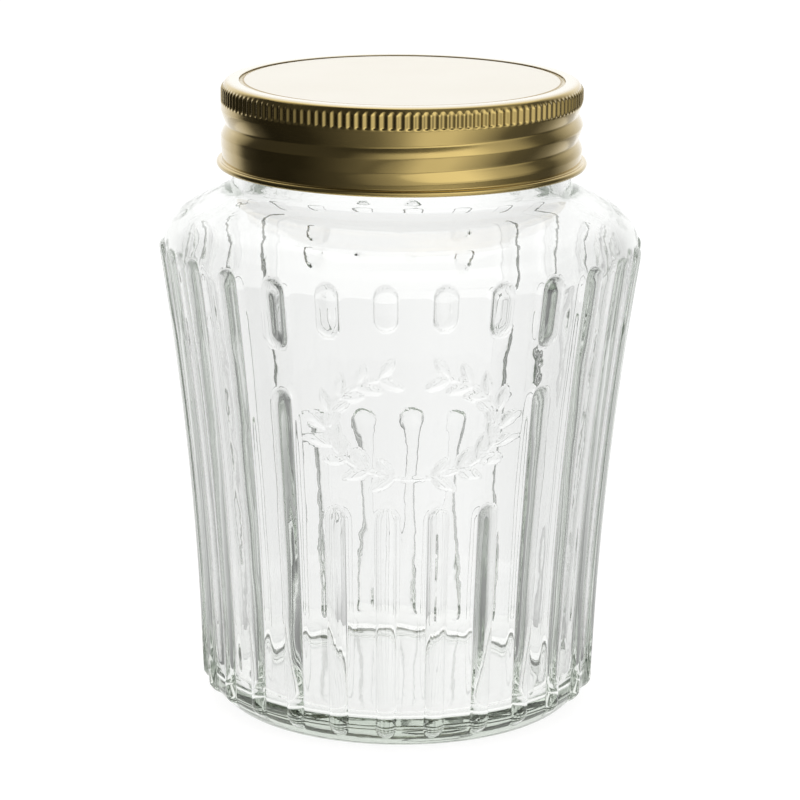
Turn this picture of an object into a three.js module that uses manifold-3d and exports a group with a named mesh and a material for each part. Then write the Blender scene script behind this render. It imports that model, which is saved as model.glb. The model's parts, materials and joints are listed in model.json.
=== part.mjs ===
// A half-litre glass preserving jar with a two-piece screw lid. A pressed disc with a
// sealing ring closes the mouth, and a screw band holds the disc down on the rim.
// Millimetres, +Z up. The origin is the middle of the foot. Angles run from the
// middle of the front panel, which faces -Y, towards +X.

import * as THREE from 'three';
import { mergeVertices } from 'three/addons/utils/BufferGeometryUtils.js';
import Module from 'manifold-3d';

// Glass body
const FOOT_RADIUS = 35; // outer edge of the flat ring that the jar stands on
const BEARING_WIDTH = 4; // width of that ring
const PUSH_UP = 1.6; // rise of the hollow inside the ring
const HEEL_RADIUS = 4.3; // rounding from the foot into the wall
const SHOULDER_RADIUS = 48.55; // wall between ribs, at the corner of wall and shoulder
const WALL_BOW = 1.62; // how far the flared wall dips inside a straight taper
const BODY_HEIGHT = 99.4; // foot to the corner of wall and shoulder
const SHOULDER_EASE = 3.2; // length of wall that the shoulder's rounding takes up
const SHOULDER_RISE = 7.6; // rise of the shoulder slope, from that corner to the neck
const NECK_EASE = 1.4; // rounding between the slope and the neck
const NECK_GAP = 4.3; // bare neck between the shoulder and the screw band
const GLASS_WALL = 3.5;
const GLASS_FLOOR = 6.3;
const FLOOR_ROUND = 5; // inside rounding between floor and wall

// Ribs, and the two panels that interrupt them at the front and the back
const RIB_COUNT = 26;
const RIB_WIDTH = 5; // at the shoulder: a rib narrows with the wall below it
const RIB_HEIGHT = 1.15;
const RIB_FOOT = 2.6; // height of the ribs' lower ends
const RIB_CREST_SHARE = 0.45; // part of a rib's width that its crest takes up
const INNER_PILL_LENGTH = 8.8; // short ribs over a panel, from its middle outwards
const MIDDLE_PILL_LENGTH = 10.6;
const OUTER_PILL_LENGTH = 14;
const INNER_RIB_TOP = 51; // heights where the ribs under a panel end
const OUTER_RIB_TOP = 74;

// Neck finish
const FINISH_RADIUS = 34.2; // outside of the neck
const FINISH_WALL = 3.1; // glass thickness at the mouth
const RIM_ROUND = 0.8;
const THREAD_PITCH = 5.08;
const THREAD_HEIGHT = 1.35; // how far the glass thread stands off the neck
const THREAD_ROOT_WIDTH = 2.2;
const THREAD_CREST_WIDTH = 1;
const THREAD_TURNS = 1.25;
const THREAD_LEAD = 60; // degrees that the glass thread starts ahead of the band's groove

// Closure
const SHEET = 0.3; // tinplate thickness
const SEAL_THICKNESS = 0.6;
const SEAL_MARGIN = 0.4; // mouth to the sealing ring's inner edge
const SEAT_GAP = 0.1; // play between the band's flange and the disc
const DISC_CLEARANCE = 0.75; // disc's edge to the inside of the band
const DISC_RIM_WIDTH = 2.6; // flat edge of the disc that the flange presses on
const DISC_STEP = 0.6; // width of the step from that edge up to the middle of the disc
const DISC_RISE = 0.25; // height of that step
const DISC_SKIRT = 1.2; // turned-down edge of the disc
const BAND_HEIGHT = 17.2;
const BAND_LEDGE = 3.25; // width of the band's top flange
const BAND_ROUND = 1.1; // rounding of the band's top edge
const BEAD_DIAMETER = 1.2; // curled lower edge
const BEAD_START = 60; // degrees above level where the curl leaves the band's wall
const BEAD_END = -140; // degrees where it comes back to the wall
const THREAD_CLEARANCE = 0.5; // crest of the glass thread to the band's plain wall
const THREAD_PLAY = 0.4; // between the band's groove and the thread that it pulls down on
const GROOVE_DEPTH = 0.95; // rolled thread of the band
const GROOVE_WIDTH = 2.8;
const GROOVE_TURNS = 1.4;
const GROOVE_START = 1.5; // angle of the groove's lower end, in degrees
const GROOVE_DROP = 12.8; // band's top to the groove's lower end
const GROOVE_FADE = 30; // degrees over which the groove's ends run out
const KNURL_COUNT = 138;
const KNURL_DEPTH = 0.4;
const KNURL_DROP = 1.1; // band's top to the knurl's upper end
const KNURL_LENGTH = 2.9;

// Fineness of the round forms
const RING_SEGMENTS = 48;
const BAND_ROWS = 15;
const BEAD_STEPS = 5;
const CURVE_STEPS = 3;
const BODY_STEP = 16; // longest stretch of wall between two rows of points
const THREAD_STEP = 12; // degrees between the sections of the glass thread
const WELD = 1e-4;
const CUT_MARGIN = 1; // how far a cutting solid runs past the face that it opens

// Sizes that follow
const RAD = Math.PI / 180;
const baseRadius = FOOT_RADIUS + HEEL_RADIUS;
const neckHeight = BODY_HEIGHT + SHOULDER_RISE;
const lidStack = SEAL_THICKNESS + SHEET + SEAT_GAP + SHEET;
const bandTop = neckHeight + NECK_GAP + BAND_HEIGHT;
const rimHeight = bandTop - lidStack;
const mouthRadius = FINISH_RADIUS - FINISH_WALL;
const ribTop = BODY_HEIGHT - SHOULDER_EASE;
const bandRadius = FINISH_RADIUS + THREAD_HEIGHT + THREAD_CLEARANCE + SHEET;
const knurlRoot = bandRadius - KNURL_DEPTH;
const discRadius = knurlRoot - SHEET - DISC_CLEARANCE;
const knurlSeat = knurlRoot - SHEET / 2;
const knurlBore = knurlSeat - SHEET / 4;
const grooveHeight = bandTop - GROOVE_DROP;
const grooveReach =
  (GROOVE_WIDTH / Math.PI) * Math.acos(Math.sqrt(Math.min(1, THREAD_CLEARANCE / GROOVE_DEPTH)));
const threadLift = grooveReach + THREAD_PLAY + THREAD_CREST_WIDTH / 2;

const wasm = await Module();
wasm.setup();

// Point at an angle from the front panel's middle, a radius and a height.
function around(degrees, radius, height) {
  return new THREE.Vector3(radius * Math.sin(degrees * RAD), -radius * Math.cos(degrees * RAD), height);
}

// Merges a geometry's shared points, drops collapsed faces and turns the faces outwards.
function weld(geometry) {
  geometry.deleteAttribute('normal');
  geometry.deleteAttribute('uv');
  const merged = mergeVertices(geometry, WELD);
  const index = merged.index.array;
  const faces = [];
  for (let i = 0; i < index.length; i += 3) {
    const face = [index[i], index[i + 1], index[i + 2]];
    if (new Set(face).size === 3) {
      faces.push(face);
    }
  }
  const corner = (i) => new THREE.Vector3().fromBufferAttribute(merged.attributes.position, i);
  const volume = faces.reduce(
    (sum, [a, b, c]) => sum + corner(a).dot(corner(b).cross(corner(c))),
    0,
  );
  merged.setIndex(faces.flatMap(([a, b, c]) => (volume > 0 ? [a, b, c] : [a, c, b])));
  return merged;
}

// Closed skin over rows of points. Each row is a closed loop. The rows themselves
// close into a ring, or the first and the last are filled to their middles.
function skin(rows, closesIntoRing) {
  const width = rows[0].length;
  const points = rows.flat();
  const faces = [];
  const lastRow = closesIntoRing ? rows.length : rows.length - 1;
  for (let i = 0; i < lastRow; i += 1) {
    for (let j = 0; j < width; j += 1) {
      const next = (j + 1) % width;
      const a = i * width + j;
      const b = i * width + next;
      const c = ((i + 1) % rows.length) * width + next;
      const d = ((i + 1) % rows.length) * width + j;
      faces.push(a, b, c, a, c, d);
    }
  }
  if (!closesIntoRing) {
    for (const [i, flip] of [[0, true], [rows.length - 1, false]]) {
      const middle = rows[i].reduce((sum, p) => sum.add(p), new THREE.Vector3()).divideScalar(width);
      points.push(middle);
      for (let j = 0; j < width; j += 1) {
        const a = i * width + j;
        const b = i * width + ((j + 1) % width);
        faces.push(points.length - 1, ...(flip ? [b, a] : [a, b]));
      }
    }
  }
  const geometry = new THREE.BufferGeometry().setFromPoints(points);
  geometry.setIndex(faces);
  return weld(geometry);
}

// Solid of revolution about Z from a profile of [radius, height] points.
function revolve(profile) {
  const points = profile.map(([radius, height]) => new THREE.Vector2(radius, height));
  return weld(new THREE.LatheGeometry(points, RING_SEGMENTS).rotateX(Math.PI / 2));
}

function toSolid(geometry) {
  return new wasm.Manifold(
    new wasm.Mesh({
      numProp: 3,
      vertProperties: Float32Array.from(geometry.attributes.position.array),
      triVerts: Uint32Array.from(geometry.index.array),
    }),
  );
}

function toGeometry(solid) {
  const mesh = solid.getMesh();
  const geometry = new THREE.BufferGeometry();
  geometry.setAttribute('position', new THREE.BufferAttribute(Float32Array.from(mesh.vertProperties), 3));
  geometry.setIndex(Array.from(mesh.triVerts));
  return geometry;
}

// Points of a rounded corner between two [radius, height] ends.
function roundCorner(start, corner, end) {
  const curve = new THREE.QuadraticBezierCurve(
    new THREE.Vector2(...start),
    new THREE.Vector2(...corner),
    new THREE.Vector2(...end),
  );
  return curve.getPoints(CURVE_STEPS).map((p) => [p.x, p.y]);
}

// Outer radius of the foot, heel and flared wall between the ribs, at a height.
function wallRadius(height) {
  if (height < HEEL_RADIUS) {
    return FOOT_RADIUS + Math.sqrt(HEEL_RADIUS ** 2 - (HEEL_RADIUS - height) ** 2);
  }
  const share = (height - HEEL_RADIUS) / (BODY_HEIGHT - HEEL_RADIUS);
  const straight = THREE.MathUtils.lerp(baseRadius, SHOULDER_RADIUS, share);
  return straight - 4 * WALL_BOW * share * (1 - share);
}

// Height of the shoulder slope's outer face at a radius.
function slopeHeight(radius) {
  return BODY_HEIGHT + (SHOULDER_RISE * (SHOULDER_RADIUS - radius)) / (SHOULDER_RADIUS - FINISH_RADIUS);
}

// Lower and upper ends of the stretches that a rib has, by its number from the front.
function ribStretches(rib) {
  const place = rib + 0.5;
  const fromPanel = Math.min(place, Math.abs(place - RIB_COUNT / 2), RIB_COUNT - place);
  const panelRibs = [
    { pill: INNER_PILL_LENGTH, top: INNER_RIB_TOP },
    { pill: MIDDLE_PILL_LENGTH, top: INNER_RIB_TOP },
    { pill: OUTER_PILL_LENGTH, top: OUTER_RIB_TOP },
  ];
  const broken = panelRibs[Math.floor(fromPanel)];
  return broken ? [[RIB_FOOT, broken.top], [ribTop - broken.pill, ribTop]] : [[RIB_FOOT, ribTop]];
}

// How far a rib's crest stands off the wall at a height: its ends are rounded.
function ribRelief(rib, height) {
  const endLength = RIB_WIDTH / 2;
  const rise = ribStretches(rib).map(([low, high]) => {
    const inside = Math.min(height - low, high - height, endLength);
    return inside > 0 ? Math.sqrt(1 - (1 - inside / endLength) ** 2) : 0;
  });
  return RIB_HEIGHT * Math.max(...rise);
}

// Heights of the wall's rows of points: the heel, the ends of every rib, and plain steps.
function wallHeights() {
  const endLength = RIB_WIDTH / 4;
  const heights = [0, ribTop];
  for (let i = 1; i <= CURVE_STEPS; i += 1) {
    heights.push(HEEL_RADIUS * (1 - Math.cos((i / CURVE_STEPS) * (Math.PI / 2))));
  }
  for (let rib = 0; rib < RIB_COUNT; rib += 1) {
    for (const [low, high] of ribStretches(rib)) {
      heights.push(low, low + endLength, high - endLength, high);
    }
  }
  const sorted = [...new Set(heights)].filter((h) => h >= 0 && h <= ribTop).sort((a, b) => a - b);
  return sorted.flatMap((height, i) => {
    const gap = (sorted[i + 1] ?? height) - height;
    const steps = Math.max(1, Math.ceil(gap / BODY_STEP));
    return Array.from({ length: steps }, (_, step) => height + (gap * step) / steps);
  });
}

// Foot, ribbed wall, shoulder, neck and rim as one solid block, before it is hollowed.
function glassBlock() {
  const pitch = 360 / RIB_COUNT;
  const half = RIB_WIDTH / 2 / SHOULDER_RADIUS / RAD;
  const columns = [];
  for (let rib = 0; rib < RIB_COUNT; rib += 1) {
    for (const [across, onCrest] of [[-1, 0], [-RIB_CREST_SHARE, 1], [RIB_CREST_SHARE, 1], [1, 0]]) {
      columns.push({ rib, angle: (rib + 0.5) * pitch + across * half, onCrest });
    }
  }
  const wallRows = wallHeights().map((height) =>
    columns.map(({ rib, angle, onCrest }) =>
      around(angle, wallRadius(height) + onCrest * ribRelief(rib, height), height),
    ),
  );
  const easeRadius = SHOULDER_RADIUS - SHOULDER_EASE;
  const neckEaseRadius = FINISH_RADIUS + NECK_EASE;
  const upperProfile = [
    ...roundCorner(
      [wallRadius(ribTop), ribTop],
      [SHOULDER_RADIUS, BODY_HEIGHT],
      [easeRadius, slopeHeight(easeRadius)],
    ).slice(1),
    ...roundCorner(
      [neckEaseRadius, slopeHeight(neckEaseRadius)],
      [FINISH_RADIUS, neckHeight],
      [FINISH_RADIUS, neckHeight + NECK_EASE],
    ),
    [FINISH_RADIUS, rimHeight - RIM_ROUND],
    [FINISH_RADIUS - RIM_ROUND, rimHeight],
  ];
  const upperRows = upperProfile.map(([radius, height]) =>
    columns.map(({ angle }) => around(angle, radius, height)),
  );
  return skin([...wallRows, ...upperRows], false);
}

// Right-hand thread round the neck. The band's groove pulls on its underside.
function glassThread() {
  const sweep = THREAD_TURNS * 360;
  const steps = Math.ceil(sweep / THREAD_STEP);
  const rows = [];
  for (let i = 0; i <= steps; i += 1) {
    const along = (sweep * i) / steps - THREAD_LEAD;
    const middle = grooveHeight + threadLift + (THREAD_PITCH * along) / 360;
    const stands = i === 0 || i === steps ? -RIM_ROUND / 2 : THREAD_HEIGHT;
    const root = FINISH_RADIUS - RIM_ROUND;
    const crest = FINISH_RADIUS + stands;
    const angle = GROOVE_START + along;
    rows.push([
      around(angle, root, middle - THREAD_ROOT_WIDTH / 2),
      around(angle, crest, middle - THREAD_CREST_WIDTH / 2),
      around(angle, crest, middle + THREAD_CREST_WIDTH / 2),
      around(angle, root, middle + THREAD_ROOT_WIDTH / 2),
    ]);
  }
  return skin(rows, false);
}

// Inside of the jar, from the floor up through the mouth.
function cavity() {
  const floorRadius = wallRadius(GLASS_FLOOR + FLOOR_ROUND) - GLASS_WALL;
  const slope = Math.atan2(SHOULDER_RISE, SHOULDER_RADIUS - FINISH_RADIUS);
  const insideSlope = (radius) => slopeHeight(radius) - GLASS_WALL / Math.cos(slope);
  const cornerRadius = SHOULDER_RADIUS - GLASS_WALL;
  const cornerHeight = insideSlope(cornerRadius);
  const wallTop = cornerHeight - SHOULDER_EASE;
  const wallBottom = GLASS_FLOOR + FLOOR_ROUND;
  const wallSteps = Math.ceil((wallTop - wallBottom) / BODY_STEP);
  const wall = Array.from({ length: wallSteps - 1 }, (_, i) => {
    const height = THREE.MathUtils.lerp(wallBottom, wallTop, (i + 1) / wallSteps);
    return [wallRadius(height) - GLASS_WALL, height];
  });
  const easeRadius = cornerRadius - SHOULDER_EASE;
  const neckEaseRadius = mouthRadius + NECK_EASE;
  return revolve([
    [0, GLASS_FLOOR],
    ...roundCorner(
      [floorRadius - FLOOR_ROUND, GLASS_FLOOR],
      [floorRadius, GLASS_FLOOR],
      [floorRadius, wallBottom],
    ),
    ...wall,
    ...roundCorner(
      [wallRadius(wallTop) - GLASS_WALL, wallTop],
      [cornerRadius, cornerHeight],
      [easeRadius, insideSlope(easeRadius)],
    ),
    ...roundCorner(
      [neckEaseRadius, insideSlope(neckEaseRadius)],
      [mouthRadius, insideSlope(mouthRadius)],
      [mouthRadius, insideSlope(mouthRadius) + NECK_EASE],
    ),
    [mouthRadius, rimHeight + CUT_MARGIN],
    [0, rimHeight + CUT_MARGIN],
  ]);
}

// Shallow hollow under the jar, inside the ring that it stands on.
function pushUp() {
  const radius = FOOT_RADIUS - BEARING_WIDTH;
  return revolve([
    [0, -CUT_MARGIN],
    [radius, -CUT_MARGIN],
    [radius, 0],
    ...roundCorner([radius, 0], [radius / 2, PUSH_UP], [0, PUSH_UP]).slice(1),
  ]);
}

function jarGeometry() {
  const block = toSolid(glassBlock()).add(toSolid(glassThread()));
  return toGeometry(block.subtract(toSolid(cavity())).subtract(toSolid(pushUp())));
}

// Depth of the band's rolled thread at an angle and a height.
function grooveDepth(degrees, height) {
  const sweep = GROOVE_TURNS * 360;
  const first = THREE.MathUtils.euclideanModulo(degrees - GROOVE_START, 360);
  let depth = 0;
  for (let along = first; along <= sweep; along += 360) {
    const off = Math.abs(height - grooveHeight - (THREAD_PITCH * along) / 360);
    if (off < GROOVE_WIDTH / 2) {
      const fade = Math.min(1, along / GROOVE_FADE, (sweep - along) / GROOVE_FADE);
      depth = Math.max(depth, GROOVE_DEPTH * fade * Math.cos((Math.PI * off) / GROOVE_WIDTH) ** 2);
    }
  }
  return depth;
}

// Section of the screw band at an angle: down the outside, round the bead and up the inside.
function bandSection(degrees) {
  const knurlTop = bandTop - KNURL_DROP;
  const knurlBottom = knurlTop - KNURL_LENGTH;
  const bandBottom = bandTop - BAND_HEIGHT;
  const beadTop = bandBottom + BEAD_DIAMETER;
  const openRadius = bandRadius - BAND_LEDGE;
  const wall = Array.from({ length: BAND_ROWS + 1 }, (_, i) => {
    const height = THREE.MathUtils.lerp(knurlBottom, beadTop, i / BAND_ROWS);
    return [bandRadius - grooveDepth(degrees, height), height];
  });
  const beadRadius = BEAD_DIAMETER / 2;
  const beadMiddle = bandRadius - SHEET + beadRadius;
  const bead = Array.from({ length: BEAD_STEPS }, (_, i) => {
    const turn = THREE.MathUtils.lerp(BEAD_START, BEAD_END, i / (BEAD_STEPS - 1)) * RAD;
    const height = bandBottom + beadRadius + beadRadius * Math.sin(turn);
    return [beadMiddle + beadRadius * Math.cos(turn), height];
  });
  const flat = knurlRoot - BAND_ROUND;
  return [
    [openRadius, bandTop],
    ...roundCorner([flat, bandTop], [knurlRoot, bandTop], [knurlRoot, bandTop - BAND_ROUND]),
    [knurlRoot, knurlBottom],
    ...wall.slice(1),
    ...bead,
    ...wall.slice(1).reverse().map(([radius, height]) => [radius - SHEET, height]),
    [knurlRoot - SHEET, knurlBottom],
    ...roundCorner(
      [knurlRoot - SHEET, bandTop - BAND_ROUND],
      [knurlRoot - SHEET, bandTop - SHEET],
      [flat, bandTop - SHEET],
    ),
    [openRadius, bandTop - SHEET],
  ].map(([radius, height]) => around(degrees, radius, height));
}

// Toothed ring round the top of the band. The teeth's roots lie inside the band's sheet.
function knurlRing() {
  const ring = new THREE.Shape();
  for (let tooth = 0; tooth < KNURL_COUNT; tooth += 1) {
    for (const [part, radius] of [[0, bandRadius], [0.5, knurlSeat]]) {
      const turn = ((tooth + part) / KNURL_COUNT) * 2 * Math.PI;
      const point = [radius * Math.cos(turn), radius * Math.sin(turn)];
      if (tooth + part === 0) {
        ring.moveTo(...point);
      } else {
        ring.lineTo(...point);
      }
    }
  }
  const hole = new THREE.Path();
  for (let i = 0; i < RING_SEGMENTS; i += 1) {
    const point = around((i * 360) / RING_SEGMENTS, knurlBore, 0);
    if (i === 0) {
      hole.moveTo(point.x, point.y);
    } else {
      hole.lineTo(point.x, point.y);
    }
  }
  ring.holes.push(hole);
  const geometry = new THREE.ExtrudeGeometry(ring, { depth: KNURL_LENGTH, bevelEnabled: false });
  return weld(geometry.translate(0, 0, bandTop - KNURL_DROP - KNURL_LENGTH));
}

function bandGeometry() {
  const sections = Array.from({ length: RING_SEGMENTS }, (_, i) => bandSection((i * 360) / RING_SEGMENTS));
  return toGeometry(toSolid(skin(sections, true)).add(toSolid(knurlRing())));
}

// Pressed disc: a raised middle, a flat edge under the flange and a turned-down rim.
function discGeometry() {
  const seat = rimHeight + SEAL_THICKNESS;
  const stepRadius = discRadius - DISC_RIM_WIDTH;
  const middleRadius = stepRadius - DISC_STEP;
  const skirtBottom = rimHeight + SEAL_THICKNESS - DISC_SKIRT;
  return revolve([
    [0, seat + SHEET + DISC_RISE],
    [middleRadius, seat + SHEET + DISC_RISE],
    [stepRadius, seat + SHEET],
    [discRadius, seat + SHEET],
    [discRadius, skirtBottom],
    [discRadius - SHEET, skirtBottom],
    [discRadius - SHEET, seat],
    [stepRadius, seat],
    [middleRadius, seat + DISC_RISE],
    [0, seat + DISC_RISE],
  ]);
}

function sealGeometry() {
  const inner = mouthRadius + SEAL_MARGIN;
  const top = rimHeight + SEAL_THICKNESS;
  return revolve([
    [inner, rimHeight],
    [FINISH_RADIUS, rimHeight],
    [FINISH_RADIUS, top],
    [inner, top],
    [inner, rimHeight],
  ]);
}

function piece(name, geometry, finish) {
  const mesh = new THREE.Mesh(geometry, new THREE.MeshStandardMaterial(finish));
  mesh.name = name;
  return mesh;
}

const clearGlass = { color: 0xdfe6e0, roughness: 0.03, metalness: 0, transparent: true, opacity: 0.35 };
const goldLacquer = { color: 0x9c8550, roughness: 0.34, metalness: 1 };
const creamLacquer = { color: 0xf0ede4, roughness: 0.4, metalness: 0.1 };
const sealCompound = { color: 0xd9d4c8, roughness: 0.7, metalness: 0 };

const lid = new THREE.Group();
lid.add(piece('lid_disc', discGeometry(), creamLacquer));
lid.add(piece('sealing_ring', sealGeometry(), sealCompound));

const jar = new THREE.Group();
jar.add(piece('glass_jar', jarGeometry(), clearGlass));
jar.add(lid);
jar.add(piece('screw_band', bandGeometry(), goldLacquer));

export default jar;
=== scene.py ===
"""Looks of a ribbed glass preserving jar with a pressed lid disc and a gold screw band.

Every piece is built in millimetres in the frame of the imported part: +Z is up, the middle
of the foot is the origin, and the middle of the front panel faces -Y. Angles run from
the front panel's middle towards +X.
"""

import json
import logging
import math
from abc import ABC, abstractmethod
from dataclasses import dataclass
from enum import Enum
from typing import ClassVar, Protocol

import bpy
import numpy as np
from bpy.types import Material, Node, NodeSocket, NodeTree, Object
from mathutils import Matrix, Vector


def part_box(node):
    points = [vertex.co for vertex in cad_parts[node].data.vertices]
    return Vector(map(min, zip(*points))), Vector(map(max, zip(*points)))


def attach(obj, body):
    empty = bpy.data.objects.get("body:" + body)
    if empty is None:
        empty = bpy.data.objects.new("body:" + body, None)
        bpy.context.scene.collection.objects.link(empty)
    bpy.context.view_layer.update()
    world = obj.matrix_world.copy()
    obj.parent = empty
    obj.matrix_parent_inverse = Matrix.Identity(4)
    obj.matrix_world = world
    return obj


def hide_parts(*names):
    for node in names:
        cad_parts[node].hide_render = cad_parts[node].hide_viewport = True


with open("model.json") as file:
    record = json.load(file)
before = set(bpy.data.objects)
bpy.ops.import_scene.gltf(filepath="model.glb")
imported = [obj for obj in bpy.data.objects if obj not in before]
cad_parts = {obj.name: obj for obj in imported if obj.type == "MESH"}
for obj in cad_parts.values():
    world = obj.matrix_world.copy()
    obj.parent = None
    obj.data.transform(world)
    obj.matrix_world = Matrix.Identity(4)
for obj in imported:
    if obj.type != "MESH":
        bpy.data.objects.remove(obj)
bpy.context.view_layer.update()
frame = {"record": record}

MM = 0.001
FULL_TURN = 2.0 * math.pi
IMAGE_SIDE = 800
TENT_WALL = 420.0
TABLE = 0.4

log = logging.getLogger("preserving_jar")

Array = np.ndarray
Pair = tuple[float, float]
Profile = list[Pair]
Colour = tuple[float, float, float, float]
Stops = tuple[Pair, ...]


class Body(Enum):
    """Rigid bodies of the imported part."""

    JAR = "jar"
    LID = "lid"
    BAND = "band"


class Slot(Enum):
    """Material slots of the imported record."""

    CLEAR_GLASS = "clear_glass"
    CREAM_LACQUER = "cream_lacquer"
    SEAL_COMPOUND = "seal_compound"
    GOLD_LACQUER = "gold_lacquer"


class Winding(Enum):
    """How the rows of a turned skin end."""

    RING = "ring"
    POLES = "poles"


class SeenBy(Enum):
    """What sees a belt of the light tent."""

    METAL = "metal"
    GLASS = "glass"


def linear(code: str) -> Colour:
    """Turns an sRGB hex code into linear colour.

    Args:
        code: Colour such as "#F0EDE4".

    Returns:
        Linear red, green, blue and an alpha of one.
    """
    shares = [int(code[i : i + 2], 16) / 255.0 for i in (1, 3, 5)]
    bent = [s / 12.92 if s <= 0.04045 else ((s + 0.055) / 1.055) ** 2.4 for s in shares]
    return (bent[0], bent[1], bent[2], 1.0)


def add_node(
    tree: NodeTree,
    kind: str,
    settings: dict[str, object] | None = None,
    inputs: dict[str | int, object] | None = None,
) -> Node:
    """Adds a shader node with its settings and links.

    Args:
        tree: Node tree of a material or a world.
        kind: Blender's name of the node type.
        settings: Properties of the node.
        inputs: Input names or places with a value, or with the output socket to link.

    Returns:
        The new node.
    """
    node = tree.nodes.new(kind)
    for name, value in (settings or {}).items():
        setattr(node, name, value)
    for name, value in (inputs or {}).items():
        if isinstance(value, NodeSocket):
            tree.links.new(value, node.inputs[name])
        else:
            node.inputs[name].default_value = value
    return node


class Look:
    """A new material with its node tree, and the nodes that the finishes share."""

    def __init__(self, name: str) -> None:
        """Starts the material with an empty tree and an output.

        Args:
            name: Name of the material.
        """
        self.material = bpy.data.materials.new(name)
        self.material.use_nodes = True
        self.tree = self.material.node_tree
        self.tree.nodes.clear()
        self.output = add_node(self.tree, "ShaderNodeOutputMaterial")

    def place(self) -> NodeSocket:
        """Place on the object, in metres."""
        return add_node(self.tree, "ShaderNodeTexCoord").outputs["Object"]

    def noise(self, place: NodeSocket, feature_mm: float, detail: float = 2.0) -> NodeSocket:
        """Noise from 0 to 1 with features of a size in millimetres, and with finer layers."""
        inputs = {"Vector": place, "Scale": 1.0 / (feature_mm * MM), "Detail": detail}
        return add_node(self.tree, "ShaderNodeTexNoise", inputs=inputs).outputs["Fac"]

    def bump(self, pattern: NodeSocket, height_mm: float) -> NodeSocket:
        """Normal of a surface that a pattern raises by up to a height in millimetres."""
        inputs = {"Height": pattern, "Distance": height_mm * MM}
        return add_node(self.tree, "ShaderNodeBump", inputs=inputs).outputs["Normal"]

    def mix(self, share: NodeSocket, first: Colour | NodeSocket, second: Colour) -> NodeSocket:
        """Mix of two colours by the share of the second."""
        inputs = {"Factor": share, "A": first, "B": second}
        return add_node(self.tree, "ShaderNodeMix", {"data_type": "RGBA"}, inputs).outputs["Result"]

    def fit(self, value: NodeSocket, ends: dict[str, float]) -> NodeSocket:
        """Value carried from one range to another, where ends that aren't given are 0 and 1."""
        inputs = {"Value": value, **ends}
        return add_node(self.tree, "ShaderNodeMapRange", inputs=inputs).outputs["Result"]

    def surface(self, inputs: dict[str, object]) -> Material:
        """Ends the material with its surface shader.

        Args:
            inputs: Input names of the shader with a value or an output socket.

        Returns:
            The material.
        """
        shader = add_node(self.tree, "ShaderNodeBsdfPrincipled", inputs=inputs)
        self.tree.links.new(shader.outputs["BSDF"], self.output.inputs["Surface"])
        return self.material


class Finish(Protocol):
    """A finish that makes its own material."""

    def material(self) -> Material:
        """Makes the material."""


@dataclass(frozen=True)
class ClearGlass:
    """Soda-lime glass, blown in a mould: clear on thin walls, grey-green where it is thick."""

    tint: str = "#DCE2DA"
    density: float = 26.0
    ior: float = 1.52
    ripple_mm: float = 3.6
    ripple_detail: float = 1.5
    ripple_height_mm: float = 0.02

    def material(self) -> Material:
        """Makes the glass: smooth, faintly rippled by the mould, tinted only by its depth.

        Returns:
            The material.
        """
        look = Look("soda_lime_glass_moulded")
        ripple = look.noise(look.place(), self.ripple_mm, self.ripple_detail)
        inputs = {
            "Base Color": linear("#FFFFFF"),
            "Roughness": 0.0,
            "IOR": self.ior,
            "Transmission Weight": 1.0,
            "Normal": look.bump(ripple, self.ripple_height_mm),
        }
        absorbed = {"Color": linear(self.tint), "Density": self.density}
        depth = add_node(look.tree, "ShaderNodeVolumeAbsorption", inputs=absorbed)
        look.tree.links.new(depth.outputs["Volume"], look.output.inputs["Volume"])
        return look.surface(inputs)


@dataclass(frozen=True)
class GoldLacquer:
    """Rolled tinplate under a gold lacquer: a satin metal with soft streaks from the rolling."""

    colour: str = "#CBB26E"
    worn_colour: str = "#BBA35E"
    # Paler colour painted on the flange's top: a painted highlight of its bright sheen.
    flange_highlight_colour: str = "#D6CFBB"
    flange_top_mm: float = 128.5
    flange_depth_mm: float = 0.3
    roughness: float = 0.16
    roughness_swing: float = 0.05
    coat: float = 0.7
    coat_roughness: float = 0.12
    streak_mm: float = 1.6
    streak_detail: float = 3.0
    streak_stretch: float = 0.05
    cloud_mm: float = 14.0
    streak_height_mm: float = 0.004

    def material(self) -> Material:
        """Makes the metal: rougher and smoother along the streaks, clouded, and paler on the
        flange's top as a painted highlight.

        Returns:
            The material.
        """
        look = Look("tinplate_gold_lacquered")
        place = look.place()
        drawn = {"Vector": place, "Scale": (self.streak_stretch, self.streak_stretch, 1.0)}
        along = add_node(look.tree, "ShaderNodeMapping", inputs=drawn).outputs["Vector"]
        streaks = look.noise(along, self.streak_mm, self.streak_detail)
        clouds = look.noise(place, self.cloud_mm)
        colour = look.mix(clouds, linear(self.colour), linear(self.worn_colour))
        # The flange's top is painted paler, a painted highlight standing in for its bright sheen.
        split = add_node(look.tree, "ShaderNodeSeparateXYZ", inputs={"Vector": place})
        below = (self.flange_top_mm - self.flange_depth_mm) * MM
        ends = {"From Min": below, "From Max": self.flange_top_mm * MM}
        flange = look.fit(split.outputs["Z"], ends)
        low, high = self.roughness - self.roughness_swing, self.roughness + self.roughness_swing
        inputs = {
            "Base Color": look.mix(flange, colour, linear(self.flange_highlight_colour)),
            "Metallic": 1.0,
            "Roughness": look.fit(streaks, {"To Min": low, "To Max": high}),
            "Coat Weight": self.coat,
            "Coat Roughness": self.coat_roughness,
            "Normal": look.bump(streaks, self.streak_height_mm),
        }
        return look.surface(inputs)


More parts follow.
